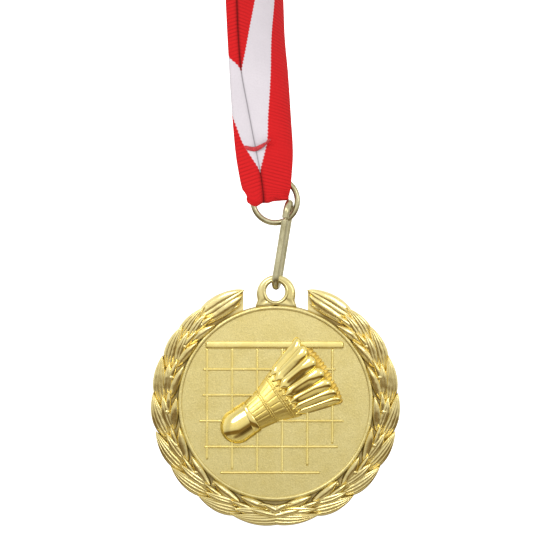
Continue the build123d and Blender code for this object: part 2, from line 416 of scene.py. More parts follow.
def piece_from(mesh, material, weld, outward):
    """Welds points within weld millimetres, drops empty faces, shades smooth and makes the object."""
    work = bmesh.new()
    work.from_mesh(mesh)
    if weld:
        bmesh.ops.remove_doubles(work, verts=work.verts, dist=weld * mm)
    bmesh.ops.dissolve_degenerate(work, dist=1e-7, edges=work.edges)
    if outward:
        bmesh.ops.recalc_face_normals(work, faces=work.faces)
    for face in work.faces:
        face.smooth = True
    work.to_mesh(mesh)
    work.free()
    mesh.materials.append(material)
    piece = bpy.data.objects.new(mesh.name, mesh)
    place_object(piece)
    return piece


class Form:
    """Grids of points gathered into one mesh. Each point has a level for the metal's wear and its brown painted
    shade: low in recesses and painted dark places, 1 on top.
    """

    def __init__(self):
        self.points, self.faces, self.levels = [], [], []

    def grid(self, rows, wrap_row=False, wrap_column=False):
        start, width = len(self.points), len(rows[0])
        for row in rows:
            for point, level in row:
                self.points.append(point)
                self.levels.append(level)
        for r in range(len(rows) - (0 if wrap_column else 1)):
            for c in range(width - (0 if wrap_row else 1)):
                here, below, right = start + r * width, start + (r + 1) % len(rows) * width, (c + 1) % width
                self.faces.append((here + c, here + right, below + right, below + c))

    def disc(self, ring):
        """Closes a ring of points with a fan."""
        start, middle = len(self.points), sum((point for point, _ in ring), Vector()) / len(ring)
        self.points += [point for point, _ in ring] + [middle]
        self.levels += [level for _, level in ring] + [ring[0][1]]
        for i in range(len(ring)):
            self.faces.append((start + i, start + (i + 1) % len(ring), start + len(ring)))

    def rod(self, rows):
        """A tube with both ends closed."""
        self.grid(rows, wrap_row=True)
        self.disc(rows[0])
        self.disc(rows[-1])

    def make(self, name, material, slot, body, weld=0.0):
        """Makes the object and hangs it on its body; body is None for a piece that lies across two bodies and is
        hung on neither.
        """
        mesh = bpy.data.meshes.new(name)
        mesh.from_pydata(self.points, [], self.faces)
        mesh.attributes.new("wear_and_shade_level", "FLOAT", "POINT").data.foreach_set("value", self.levels)
        piece = piece_from(mesh, material, weld, outward=True)
        if body:
            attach(piece, body)
        return piece


# ---- medal: disc, rim bead and flat back ----


def cast(form, name, material, weld=0.0):
    """Makes a visible piece of the one casting."""
    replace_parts(form.make(name, material, "gold", "medal", weld), "medal_casting")


field_height = 2.0
bead_radius, bead_half, bead_top = 24.8, 0.52, 2.45
band_floor = 1.15
turns = 288


def lathe(form, profile, first=0.0, last=360.0, wobble=0.0):
    """Turns (radius, height, relief) round the medal's middle; angles are degrees from the top."""
    whole = last - first >= 360
    count = max(8, int(turns * (last - first) / 360))
    rows = []
    for radius, height, level in profile:
        row = []
        for i in range(count if whole else count + 1):
            angle = radians(first + (last - first) * i / count)
            x, z = radius * sin(angle), radius * cos(angle)
            lift = wobble * noise.noise(Vector((x * 0.35, z * 0.35, height)))
            row.append((spot(x, z, height + lift), level))
        rows.append(row)
    form.grid(rows, wrap_row=whole)


def bead_profile():
    """Thin round bead at the rim of the field."""
    made = [(bead_radius - bead_half - 0.25, field_height, 0.8), (bead_radius - bead_half - 0.02, field_height, 0.8)]
    for i in range(13):
        turn = pi * (1 - i / 12)
        height = field_height + (bead_top - field_height) * sin(turn) ** 0.8
        made.append((bead_radius + bead_half * cos(turn), height, 0.75 + 0.25 * sin(turn)))
    # painted shade: low levels at the bead's outer foot, in the gap to the leaves
    made.append((bead_radius + bead_half + 0.05, field_height - 0.35, 0.35))
    made.append((bead_radius + bead_half + 0.1, band_floor + 0.3, 0.15))
    return made


def middle_ring(radius, height):
    """The innermost ring of a lathe, to be closed with a fan."""
    ring = []
    for i in range(turns):
        angle = 2 * pi * i / turns
        ring.append((spot(radius * sin(angle), radius * cos(angle), height), 0.8))
    return ring


disc = Form()
inner = bead_profile()[0][0]
field = [(inner * i / 34, field_height, 0.8) for i in range(1, 34)]
# the rim's outer edge gets a low level too: brown painted shade under the wreath
rim = [(bead_radius + 0.8, 0.35, 0.2), (bead_radius + 0.45, 0.0, 0.7)]
lathe(disc, field + bead_profile() + rim, wobble=0.012)
disc.disc(middle_ring(field[0][0], field_height))
cast(disc, "medal_disc", sanded, weld=0.01)

back = Form()
lathe(back, [(0.5 * i, 0.0, 0.8) for i in range(1, 50)] + [(24.9, 0.0, 0.8), (25.3, 0.02, 0.6)])
back.disc(middle_ring(0.5, 0.0))
lathe(back, [(24.9, 0.0, 0.8), (26.5, 0.0, 0.8), (28.3, 0.0, 0.8), (28.9, 0.25, 0.9), (29.05, 0.7, 0.8)], 22, 338)
cast(back, "medal_back", satin, weld=0.01)

# the bed under the leaves has low levels: brown painted shade in the gaps between the leaves and along the outline
band = Form()
lathe(
    band,
    [
        (25.2, band_floor, 0.12), (26.2, band_floor + 0.1, 0.14), (27.4, band_floor + 0.25, 0.18),
        (28.4, band_floor + 0.2, 0.2), (28.9, band_floor - 0.1, 0.4), (29.05, 0.7, 0.6),
    ],
    22.5, 337.5, wobble=0.4,
)
lathe(
    band,
    [
        (28.6, band_floor, 0.2), (30.7, band_floor - 0.1, 0.3), (31.15, 0.8, 0.4),
        (31.2, 0.3, 0.5), (29.5, 0.1, 0.6), (28.6, 0.1, 0.6),
    ],
    28, 332,
)
cast(band, "wreath_bed", leafy)

# ---- wreath ----


def leaf(form, root, tip, width, low, high, ribs, belly, groove, crown, blunt=0.72):
    """A ribbed laurel leaf from root to tip: it rises to its tip, which lies over the next leaf's foot.

    belly bows it outward, groove is the depth between its ribs and crown its arch from edge to edge.
    """
    rows_count, columns = 26, 10 * ribs + 1
    root, tip = Vector(root), Vector(tip)
    length = (tip - root).length
    ahead = (tip - root) / length
    aside = Vector((-ahead.y, ahead.x))
    outward = 1 if aside.dot(root + tip) > 0 else -1
    seed = dice.random() * 50
    # no two undersides lie in one plane
    floor = 0.8 + 0.003 * seed
    best = 0.5 / (0.5 + blunt)
    peak = best**0.5 * (1 - best) ** blunt
    rows = []
    for r in range(rows_count + 1):
        t = r / rows_count
        spine = root + ahead * length * t + aside * outward * belly * 4 * t * (1 - t)
        half = width / 2 * max(0.03, t**0.5 * (1 - t) ** blunt / peak)
        fade = ease(t, 0.02, 0.2) * (1 - 0.8 * ease(t, 0.8, 1.0))
        body = low + (high - low) * ease(t, 0.0, 0.8) - 0.2 * ease(t, 0.88, 1.0)
        # the feet of both edges get level 0: brown painted shade
        row = [(spot(*(spine - aside * half * 1.03), floor), 0.0)]
        for c in range(columns):
            v = 2 * c / (columns - 1) - 1
            within = (c / 10) % 1.0 if 0 < c < columns - 1 else 0.0
            arch = sqrt(1 - (2 * within - 1) ** 2)
            place = spine + aside * half * v
            height = body + crown * (1 - v * v) + groove * fade * (arch - 0.6)
            height -= 0.25 * max(0.0, abs(v) - 0.84) / 0.16
            height += 0.05 * noise.noise(Vector((place.x * 0.9, place.y * 0.9, seed)))
            # painted shade: the level drops in the rib grooves and towards the root, which lies under the tip of the
            # leaf before it
            level = 0.26 + 0.34 * arch + 0.38 * t + 0.05 * (1 - abs(v))
            row.append((spot(place.x, place.y, height), level))
        row.append((spot(*(spine + aside * half * 1.03), floor), 0.0))
        rows.append(row)
    form.grid(rows)
    form.grid([[(row[0][0], 0.6), (row[-1][0], 0.6)] for row in rows])  # underside


def branch(angle, radius, side):
    """Place on the wreath by angle from the top; side is 1 on the right and -1 on the left."""
    return (side * radius * sin(radians(angle)), radius * cos(radians(angle)))


# each knot of the branch throws an outer, a middle and an inner leaf; (angle from the top, tip radius)
outer_tips = [
    (157.5, 31.0), (139.8, 31.3), (121, 31.75), (103, 31.9), (85, 31.9), (67, 31.8), (50, 31.5), (36.5, 31.0),
]
outer_leaves, middle_leaves, inner_leaves = Form(), Form(), Form()
for angle, radius in outer_tips:
    # the lowest pair is longer and bows out further
    back_turn, bow_out = (34, 1.45) if angle > 150 else (24.5, 0.85)
    for side in (1, -1):
        turn, reach = dice.uniform(-0.8, 0.8), dice.uniform(-0.12, 0.12)
        leaf(
            outer_leaves, branch(angle + back_turn + turn, 28.85 + reach, side), branch(angle, radius + reach, side),
            width=3.8, low=1.0, high=2.35, ribs=4, belly=bow_out, groove=0.2, crown=0.5, blunt=0.86,
        )
        leaf(
            middle_leaves, branch(angle + 20 + turn, 27.6, side), branch(angle + 1.5 + turn, 29.3 + reach, side),
            width=2.5, low=1.5, high=2.65, ribs=2, belly=0.45, groove=0.2, crown=0.4,
        )
        leaf(
            inner_leaves, branch(angle + 20.5 + turn, 27.3 + reach, side), branch(angle + 1.0 - turn, 25.7, side),
            width=2.4, low=1.5, high=2.75, ribs=1, belly=0.35, groove=0.05, crown=0.6,
        )
        leaf(
            inner_leaves, branch(angle + 13 + turn, 28.1, side), branch(angle - 1.5 + turn, 27.7 + reach, side),
            width=1.7, low=1.9, high=2.8, ribs=1, belly=0.2, groove=0.05, crown=0.5,
        )
# single leaves of the right side: root, tip, width, low, high, ribs, belly, groove, crown, blunt
crossing = (
    ((-2.6, -28.9), (3.4, -25.9), 2.0, 1.8, 2.6, 1, 0.1, 0.05, 0.5),
    ((-3.4, -27.9), (5.4, -26.0), 1.5, 1.6, 2.5, 1, -0.1, 0.05, 0.5),
    ((-0.8, -29.3), (6.4, -27.4), 1.9, 1.9, 2.7, 1, 0.1, 0.05, 0.5),
)
at_the_ends = (
    ((20.0, 22.2), (8.2, 29.4), 4.5, 1.3, 2.8, 2, 0.3, 0.28, 0.5, 0.7),
    ((18.4, 21.2), (8.5, 28.0), 3.0, 1.4, 2.9, 1, -0.3, 0.05, 0.6, 0.6),
    ((17.8, 20.4), (8.9, 25.7), 1.6, 1.3, 2.4, 1, 0.2, 0.05, 0.5, 0.6),
)


def single_leaves(form, side, table):
    for (root_x, root_z), (tip_x, tip_z), *shape in table:
        leaf(form, (side * root_x, root_z), (side * tip_x, tip_z), *shape)


for side in (1, -1):
    single_leaves(inner_leaves, side, crossing)
cast(outer_leaves, "wreath_leaves_outer", leafy)
cast(middle_leaves, "wreath_leaves_middle", leafy)
cast(inner_leaves, "wreath_leaves_inner", leafy)

end_leaves = Form()
web_start, web_length, web_top, web_underside = 8.35, 10.5, 1.65, 0.17
for side in (1, -1):
    single_leaves(end_leaves, side, at_the_ends)
    # web under the end leaves, cut off straight beside the eyelet
    rows = []
    for r in range(25):
        x = web_start + web_length * r / 24
        low, high = sqrt(25.25**2 - x * x), 28.9 - 0.5 * (x - web_start)
        outline = [(low, web_underside), (low, 1.5), (low + 0.3, web_top)]
        outline += [(low + 0.3 + (high - low - 0.6) * k / 8, web_top - 0.2 * sin(pi * k / 8)) for k in range(1, 9)]
        outline += [(high, 1.5), (high, web_underside)]
        # painted shade: the web's top darkens away from the eyelet, a dark pocket under the end leaves
        level = 0.34 - 0.3 * ease(r, 3, 11)
        rows.append([(spot(side * x, z, height), level if height > 1 else 0.6) for z, height in outline])
    end_leaves.rod(rows)
cast(end_leaves, "wreath_leaves_end", leafy)


def ball(form, x, z, height, radius):
    """A slightly flattened ball."""
    rows_count, columns, flat = 10, 18, 0.8
    rows = []
    for r in range(rows_count + 1):
        lean = pi * r / rows_count
        row = []
        for turn in circle(columns):
            right, up = radius * sin(lean) * cos(turn), radius * sin(lean) * sin(turn)
            place = spot(x + right, z + up, height + radius * flat * cos(lean))
            # painted shade: the ball's sides get lower levels than its top
            row.append((place, 0.35 + 0.65 * max(0.0, cos(lean))))
        rows.append(row)
    form.grid(rows, wrap_row=True)


berries = Form()
berry_places = (
    (163.3, 26.1), (143, 26.2), (131, 27.3), (113, 27.9), (94.5, 28.2),
    (76, 27.9), (58, 27.9), (43, 27.9), (27, 27.7),
)
for angle, radius in berry_places:
    for side in (1, -1):
        x, z = branch(angle, radius, side)
        ball(berries, x, z, 2.45, dice.uniform(0.5, 0.72))
cast(berries, "wreath_berries", leafy, weld=0.001)

# ---- net and tape ----


def bar(form, start, end, width, base, top, sections, ends=0.5, wave=0.03, flat=0.75):
    """A raised rounded line between two places, sunk into the field at its sides.

    ends is the length of its rounded ends, wave its sideways drift, and a smaller flat gives it a flatter top.
    """
    a, b = Vector(start), Vector(end)
    ahead, length = (b - a).normalized(), (b - a).length
    aside = Vector((-ahead.y, ahead.x))
    rows = []
    for r in range(sections + 1):
        # the last sections on each side are short, for the rounded ends
        t = (1 - cos(pi * r / sections)) / 2
        reach = t * length
        close = min(reach, length - reach)
        fall = sqrt(max(0.0, 1 - max(0.0, 1 - close / ends) ** 2)) if close < ends else 1.0
        place = a + ahead * reach
        drift = wave * noise.noise(Vector((place.x * 0.4, place.y * 0.4, width * 9)))
        row = []
        for turn in half_circle(10):
            point = place + aside * (drift - cos(turn) * width / 2 * (0.35 + 0.65 * fall))
            lift = (top - base) * sin(turn) ** flat * fall * (1 + 1.5 * drift)
            # painted shade: lower levels at the bar's sides, where it meets the field
            row.append((spot(point.x, point.y, base + lift), 0.3 + 0.7 * sin(turn)))
        rows.append(row)
    form.grid(rows)


net = Form()
cord_width, column_step, row_step = 0.62, 6.5, 6.7
column_ends = ((-14.6, 14.4), (-17.2, 14.4), (-18.3, 14.4), (-18.0, 14.4), (-16.2, 14.4), (-10.5, 14.2))
row_ends = ((-18.8, 15.6), (-19.0, 16.7), (-19.8, 17.7), (-18.5, 16.2), (-14.4, 11.5))
for k, (low, high) in enumerate(column_ends):
    x = -17.8 + column_step * k
    bar(net, (x, low), (x, high), cord_width, base=1.9, top=2.32, sections=90)
for k, (left, right) in enumerate(row_ends):
    z = 8.8 - row_step * k
    bar(net, (left, z), (right, z), cord_width, base=1.88, top=2.34, sections=90)
cast(net, "net_cords", satin)

tape = Form()
tape_level = 15.1
bar(
    tape, (-18.2, tape_level), (17.7, tape_level), width=1.85, base=1.9, top=2.5,
    sections=110, ends=0.6, wave=0.04, flat=0.3,
)
cast(tape, "net_tape", satin)

# ---- shuttlecock ----
cork_place = Vector((-9.2, -5.5))
shuttle_angle = radians(34.5)
shuttle_ahead = Vector((cos(shuttle_angle), sin(shuttle_angle)))
shuttle_aside = Vector((-shuttle_ahead.y, shuttle_ahead.x))


def shuttle(reach, side, height):
    place = cork_place + shuttle_ahead * reach + shuttle_aside * side
    return spot(place.x, place.y, height)


# height of the shuttlecock's foot, just under the field, and reach of its mouth from the cork
foot, mouth = 1.9, 25.2
cork_half, dome_at, sections = 4.5, -0.85, 44
cork = Form()
rows = []
for r in range(49):
    if r < 32:
        lean = pi / 2 * r / 32
        reach, half = dome_at - cork_half * cos(lean), cork_half * sin(lean)
    else:
        reach, half = dome_at + 4.5 * (r - 31) / 17, cork_half * (1 - 0.03 * ((r - 31) / 17) ** 2)
    # painted dark reflection: a streak along the upper side
    dark_reflection_span = ease(reach, -4.8, -2.6) * (1 - ease(reach, 2.9, 3.6))
    row = []
    for c, turn in enumerate(half_circle(sections)):
        height = foot + 2.75 * half / cork_half * max(0.0, sin(turn)) ** 1.6
        painted_dark_reflection = 0.92 * dark_reflection_span * exp(-(((c / sections - 0.66) / 0.07) ** 2))
        row.append((shuttle(reach, half * cos(turn), height), 0.5 + 0.5 * sin(turn) - painted_dark_reflection))
    rows.append(row)
cork.grid(rows)
# collar round the cork's mouth, set a little askew
rows = []
for turn in half_circle(16):
    grow = 0.32 * sin(turn) ** 0.6
    row = []
    for around in half_circle(sections):
        reach = 3.3 + 0.1 * cos(around) * cork_half - (0.75 - 0.3 * cos(around)) * cos(turn)
        place = shuttle(reach, (4.1 + grow) * cos(around), foot + (2.5 + grow) * sin(around))
        # the collar's edges get slightly lower levels: faint painted shade
        row.append((place, 0.4 + 0.6 * sin(turn)))
    rows.append(row)
cork.grid(rows)
cast(cork, "shuttlecock_cork", mirror)

# half width and height of the cone by reach
outline = [(3.6, 4.1), (8.4, 5.0), (12.5, 6.5), (18.0, 8.45), (mouth, 10.7)]
rise_line = [(3.6, 2.3), (12.5, 2.0), (mouth, 2.2)]


def cone(reach, share, extra=0.0):
    """A place on the shuttlecock's cone; share goes from -1 to 1 across it."""
    dome = max(0.0, 1 - 0.985 * share * share) ** 0.8
    height = 1.92 + along(rise_line, reach) * dome + extra * (0.35 + 0.65 * dome)
    return shuttle(reach, along(outline, reach) * share, height)


stem = Form()
quills, fine = 7, 14
columns = quills * fine
rows = []
for r in range(125):
    reach = 3.7 + 21.2 * r / 124
    # the quills show between the collar and the lower binding, and between the two bindings
    below = ease(reach, 4.0, 4.5) * (1 - ease(reach, 7.5, 8.0))
    above = ease(reach, 8.9, 9.4) * (1 - ease(reach, 11.7, 12.2))
    quill = 0.12 * (below + above)
    sunk = 1.35 * ease(reach, 13.8, 16.0)
    row = []
    for c in range(columns + 1):
        share = 1 - 2 * c / columns
        within = (c / fine) % 1.0 if 0 < c < columns else 0.0
        arch = (1 - abs(2 * within - 1) ** 4) ** 0.5
        # painted shade under the feathers: the level drops from reach 14 on
        level = 0.42 + 0.4 * arch - 0.3 * ease(reach, 14, 16)
        row.append((cone(reach, share, quill * (arch - 0.7) - sunk), level))
    rows.append(row)
# the strip down to the field gets level 0: brown painted shade
rows.append([(Vector((point.x, spot(0, 0, foot).y, point.z)), 0.0) for point, _ in rows[-1]])
stem.grid(rows)
cast(stem, "shuttlecock_stem", warm)

# near feathers: broad flutes with round ends, wider on the side that turns to the viewer.
# (middle, half width) as shares of the cone's half width
vanes = Form()
vane_places = (
    (0.885, 0.16), (0.62, 0.165), (0.295, 0.18), (-0.06, 0.175), (-0.38, 0.15), (-0.64, 0.125), (-0.86, 0.105),
)
for number, (share, wide) in enumerate(vane_places):
    start, tip = 13.9, 25.15 + 0.75 * (1 - share * share) + dice.uniform(-0.1, 0.1)
    rows = []
    for r in range(61):
        t = 1 - (1 - r / 60) ** 1.6
        reach = start + (tip - start) * t
        round_end = 1.5 + 4 * wide
        close = min(1.0, max(0.0, (reach - (tip - round_end)) / round_end))
        taper = sqrt(max(0.0, 1 - close**2.4)) * (0.5 + 0.5 * ease(reach, start, start + 1.8))
        bulk = (0.5 + (0.25 + 2.6 * wide) * ease(reach, 16.0, 22.5)) * max(taper, 0.02)
        # the cone ends at the mouth, and the feather goes on straight from there
        held = min(reach, mouth)
        beyond = shuttle(reach, 0, 0) - shuttle(held, 0, 0)
        row = []
        for turn in half_circle(26):
            across = share + wide * 1.16 * max(taper, 0.12) * cos(turn)
            hollow = 0.34 * ease(reach, 14.5, 16.5) * (1 - ease(reach, 20.5, 23.5))
            hollow *= exp(-(((turn - 1.95) / 0.5) ** 2))
            rise = bulk * max(0.0, sin(turn)) ** 0.8 - 0.75 * (1 - sin(turn)) - 0.12 - hollow
            # painted dark reflection in the hollow of each feather, weaker on the first one
            painted_vane_reflection = exp(-(((turn - 2.3) / 0.55) ** 2)) * ease(reach, 14.8, 16.8) * (1 - ease(reach, 20.8, 24.0))
            painted_vane_reflection *= 1.0 if number else 0.3
            place = cone(held, max(-1.0, min(1.0, across)), rise) + beyond
            row.append((place, 0.4 + 0.6 * ease(sin(turn), 0.05, 0.8) - 0.88 * painted_vane_reflection))
        rows.append(row)
    vanes.grid(rows)
cast(vanes, "shuttlecock_feathers", mirror)

# far side of the mouth: a low jagged edge that shows past the near feathers, in a darker gold that is painted shade
far = Form()
far_reach = [(-1.0, 0.9), (-0.85, 1.5), (-0.6, 2.1), (-0.2, 2.6), (0.15, 2.8), (0.6, 2.1), (0.8, 1.1), (0.9, 0.3)]
rows = []
for r in range(7):
    t = r / 6
    row = []
    for c in range(253):
        share = 0.86 - 1.84 * c / 252
        tooth = sqrt(1 - (2 * ((c / 14) % 1.0) - 1) ** 2)
        reach = 23.6 + (0.35 + along(far_reach, share) + 0.4 * tooth) * t
        across = along(outline, min(reach, mouth)) * share * (1 - 0.01 * t)
        row.append((shuttle(reach, across, foot + 0.7 * (1 - t**4) + 0.05 * tooth * t), 0.5 + 0.2 * t))
    rows.append(row)
far.grid(rows)
cast(far, "shuttlecock_far_feathers", shaded_gold)

# two double rows of thread round the quills, and the loops where the feathers are tied in
binding = Form()
for place, thick in ((8.15, 0.2), (8.7, 0.17), (12.3, 0.2), (12.85, 0.17)):
    rows = []
    for r in range(91):
        middle = cone(place, cos(pi * r / 90) * 0.985, 0.1 + 0.05 * cos(r * 1.4))
        row = []
        for turn in circle(10):
            ahead = shuttle(thick * cos(turn), 0, 0) - shuttle(0, 0, 0)
            row.append((middle + ahead + Vector((0, -thick * sin(turn) * mm, 0)), 0.6 + 0.4 * sin(turn)))
        rows.append(row)
    binding.grid(rows, wrap_row=True)
ties, tie_long, tie_wide = 9, 0.62, 0.36
for k in range(ties):
    middle = cone(13.75, 0.97 * (1 - 2 * (k + 0.5) / ties), 0.1)
    rows = []
    for lean in half_circle(8):
        row = []
        for turn in circle(14):
            step = shuttle(tie_long * cos(lean), tie_wide * sin(lean) * cos(turn), 0) - shuttle(0, 0, 0)
            row.append((middle + step + Vector((0, -tie_wide * sin(lean) * sin(turn) * mm, 0)), 0.8))
        rows.append(row)
    binding.grid(rows, wrap_row=True)
cast(binding, "shuttlecock_binding", warm)

# ---- eyelet ----
eyelet = Form()
hole, hole_radius = Vector((0.0, 29.0)), 2.45
outer_middle, outer_radius = Vector((0.15, 28.3)), 5.0
rows = []
for turn in circle(120):
    way = Vector((sin(turn), cos(turn)))
    near = hole + way * hole_radius
    # two small points flare out at the lower sides, and the foot ends at the disc's rim
    flare = sum(1.5 * exp(-(((degrees(turn) - spread) / 9) ** 2)) for spread in (126, 234))
    dip = 2.15 * exp(-(((degrees(turn) - 180) / 36) ** 2))
    far_edge = outer_middle + way * (outer_radius + flare - dip)
    middle, half = (near + far_edge) / 2, (far_edge - near).length / 2
    thick = 1.12 - 0.2 * min(1.0, flare / 2)
    row = []
    for lean in circle(28):
        out = abs(cos(lean)) ** 0.7 * (1 if cos(lean) > 0 else -1)
        up = abs(sin(lean)) ** 0.8 * (1 if sin(lean) > 0 else -1)
        place = middle + way * half * out
        row.append((spot(place.x, place.y, 1.5 + thick * up), 0.45 + 0.45 * max(0.0, up)))
    rows.append(row)
eyelet.grid(rows, wrap_row=True, wrap_column=True)
# ridge round the hole
rows = []
for turn in circle(120):
    row = []
    for lean in circle(14):
        place = hole + Vector((sin(turn), cos(turn))) * (3.0 + 0.4 * cos(lean))
        row.append((spot(*place, 2.5 + 0.34 * sin(lean)), 0.6 + 0.4 * sin(lean)))
    rows.append(row)
eyelet.grid(rows, wrap_row=True, wrap_column=True)
cast(eyelet, "medal_eyelet", eyelet_gold)

# ---- wire link and ring ----


def frames(path, ends):
    """Each point of a path, two directions across it that don't twist, and its share from ends, the last inside."""
    across, last = None, len(path) - 1
    for i, point in enumerate(path):
        ahead = (path[min(last, i + 1)] - path[max(0, i - 1)]).normalized()
        if across is None:
            across = ahead.orthogonal().normalized()
        else:
            across = (across - ahead * across.dot(ahead)).normalized()
        yield point, across, ahead.cross(across), ends[min(i, last - i, 2)]


def wire(name, path, radius, body):
    """Round wire along a path in millimetres, with cut ends that are slightly rounded."""
    form, rows = Form(), []
    for point, across, other, shrink in frames(path, (0.82, 0.95, 1.0)):
        row = []
        for c, turn in enumerate(circle(28)):
            uneven = 1 + 0.012 * noise.noise(point * 0.5 + Vector((c, 0, 0)))
            out = (across * cos(turn) + other * sin(turn)) * radius * shrink * mm * uneven
            row.append((point * mm + out, 0.8))
        rows.append(row)
    form.rod(rows)
    return form.make(name, wire_metal, "wire", body, weld=0.0001)


# the link's lowest and highest points; it is turned by 10 degrees from edge-on
link_low = centre + Vector((0.1, 0, 30.3))
link_high = centre + Vector((3.6, 0, 51.95))
link_twist = radians(10)
link_axis = (link_high - link_low).normalized()
link_side = Vector((link_axis.z, 0, -link_axis.x))
link_depth = Vector((0, cos(link_twist), 0)) + link_side * sin(link_twist)
link_length, bow, cut = (link_high - link_low).length, 2.6, 1.5


def link_spot(depth, up):
    return link_low + link_depth * depth + link_axis * up


def bow_turn(first, last, height):
    """Points round one of the link's bows, from one angle to the other."""
    made = []
    for i in range(41):
        angle = radians(first + (last - first) * i / 40)
        made.append(link_spot(bow * cos(angle), height + bow * sin(angle)))
    return made


gap_at = link_length - bow - cut
lower_run = [link_spot(-bow, gap_at - 0.35 - step) for step in (0.0, 0.06, 0.16)]
lower_run += [link_spot(-bow, gap_at - 0.6 - (gap_at - 0.6 - bow) * i / 30) for i in range(30)]
path = lower_run + bow_turn(180, 360, bow)
path += [link_spot(bow, bow + (link_length - 2 * bow) * i / 30) for i in range(1, 30)]
path += bow_turn(0, 180, link_length - bow)
path += [link_spot(-bow, gap_at + step) for step in (1.2, 0.9, 0.6, 0.3, 0.16, 0.06, 0.0)]
link_piece = wire("connecting_link_wire", path, 0.9, "link")
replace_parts(link_piece, "connecting_link")

ring_middle = centre + Vector((-0.1, 0, 52.6))
ring_radius = 5.75
path = []
for i in range(181):
    # the cut in the ring is 2 degrees wide, hidden in the fold
    angle = radians(91 + 358 * i / 180)
    path.append(ring_middle + Vector((ring_radius * cos(angle), 0, ring_radius * sin(angle))))
ring_piece = wire("ribbon_ring_wire", path, 0.75, "ring")
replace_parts(ring_piece, "ribbon_ring")

# ---- ribbon ----
strand_turn = radians(17.5)
tip_length = 16.0
fold_line, crotch = 52.0, 109.3
cloth_thick = 0.55
# x of the seam and of the ribbon's two edges by z, and the seam's depth
seam_line = [
    (51.0, -3.0), (54.1, -3.2), (59.4, -3.9), (67.5, -5.5), (76.8, -7.25),
    (86.0, -8.95), (95.2, -9.75), (104.5, -10.15), (109.3, -10.3),
]
left_line = [
    (51.0, -6.0), (53.2, -7.4), (55.9, -8.5), (60.5, -9.45), (65.1, -10.15),
    (72.1, -10.8), (81.5, -11.5), (90.5, -12.0), (104.5, -12.7), (109.3, -12.8),
]
right_line = [
    (51.0, 3.3), (53.2, 3.5), (58.1, 3.95), (65.1, 4.3), (74.5, 3.75),
    (86.1, 3.0), (95.2, 2.2), (104.5, 1.85), (109.3, 1.6),
]
seam_depth = [(51.0, -1.7), (56.0, -2.2), (67.5, -2.2), (80.0, -2.5), (109.3, -2.6)]
loop_middle, loop_radius = Vector((-5.7, 5.0, 113.95)), 6.85
loop_front = -6.0
# z of the fold's lower edge by x, and the fold's middle and half widths
fold_bottom = [
    (-7.4, 52.85), (-6.9, 52.2), (-6.1, 51.55), (-5.4, 51.27), (-4.6, 51.5),
    (-3.5, 52.15), (-1.9, 52.2), (-0.8, 52.6), (3.4, 52.95),
]
fold_mean, fold_middle, fold_half, fold_drop = 51.75, -3.1, 4.9, 0.9
fold_extra = {1: 1.6, -1: -1.0}
tack_level = 67.5
# the right strand's slant at the seam by z, and where along its width it bends back
bend_slant = [(67.0, 0.0), (76.8, 0.0), (86.0, 13.0), (95.0, 30.0), (104.5, 38.0)]
bend_first = [(53.0, 1.5), (67.5, 1.0), (76.8, 2.0), (86.0, 1.0), (95.0, 0.0)]
bend_last = [(53.0, 14.0), (67.5, 14.0), (76.8, 17.0), (85.0, 22.0), (95.0, 29.0), (104.5, 30.0)]


ribbon_columns = 30


def section(total, slant, first, last, lean=0.0):
    """Cross-section of a strand by length from the seam.

    It leaves the seam at a slant and bends back between first and last.
    """
    made, x, y, fine, count = [], 0.0, 0.0, 8, ribbon_columns
    for i in range(count + 1):
        made.append((x, y))
        for k in range(fine):
            way = total * (i + (k + 0.5) / fine) / count
            angle = radians(slant + (90 - slant) * ease(way, first, last))
            angle += (pi / 2 - angle) * lean
            x += cos(angle) * total / count / fine
            y += sin(angle) * total / count / fine
    return made


